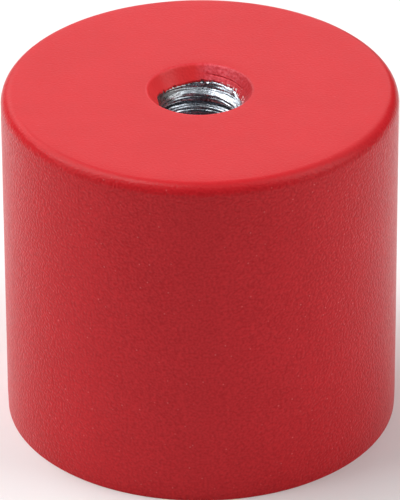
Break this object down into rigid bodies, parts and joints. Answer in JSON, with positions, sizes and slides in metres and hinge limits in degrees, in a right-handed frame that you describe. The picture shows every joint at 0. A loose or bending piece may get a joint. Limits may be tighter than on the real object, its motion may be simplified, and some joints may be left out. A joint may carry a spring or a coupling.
{
  "type": "deep pot lifting magnet",
  "caption": "Red enamelled steel pot magnet: a plain cylinder with a countersunk, tapped blind hole in its back and a flat pole face that grips steel.",
  "frame": {"origin": "centre of the pole face, the flat end that grips steel and on which the part stands", "axes": "+Z along the magnet's axis, from the pole face out through the tapped hole; the body is a solid of revolution, so +X and +Y are free"},
  "size_m": [0.0272, 0.0272, 0.0247],
  "materials": {
    "pot_steel": "satin",
    "red_enamel": "satin",
    "cast_magnet": "satin",
    "spacer_aluminium": "satin",
    "bonding_resin": "satin"
  },
  "bodies": {
    "root": {"pot_body": "pot_steel", "enamel_coat": "red_enamel", "magnet_core": "cast_magnet", "spacer_ring": "spacer_aluminium", "core_adhesive": "bonding_resin", "inner_glue_line": "bonding_resin", "outer_glue_line": "bonding_resin"}
  },
  "joints": []
}
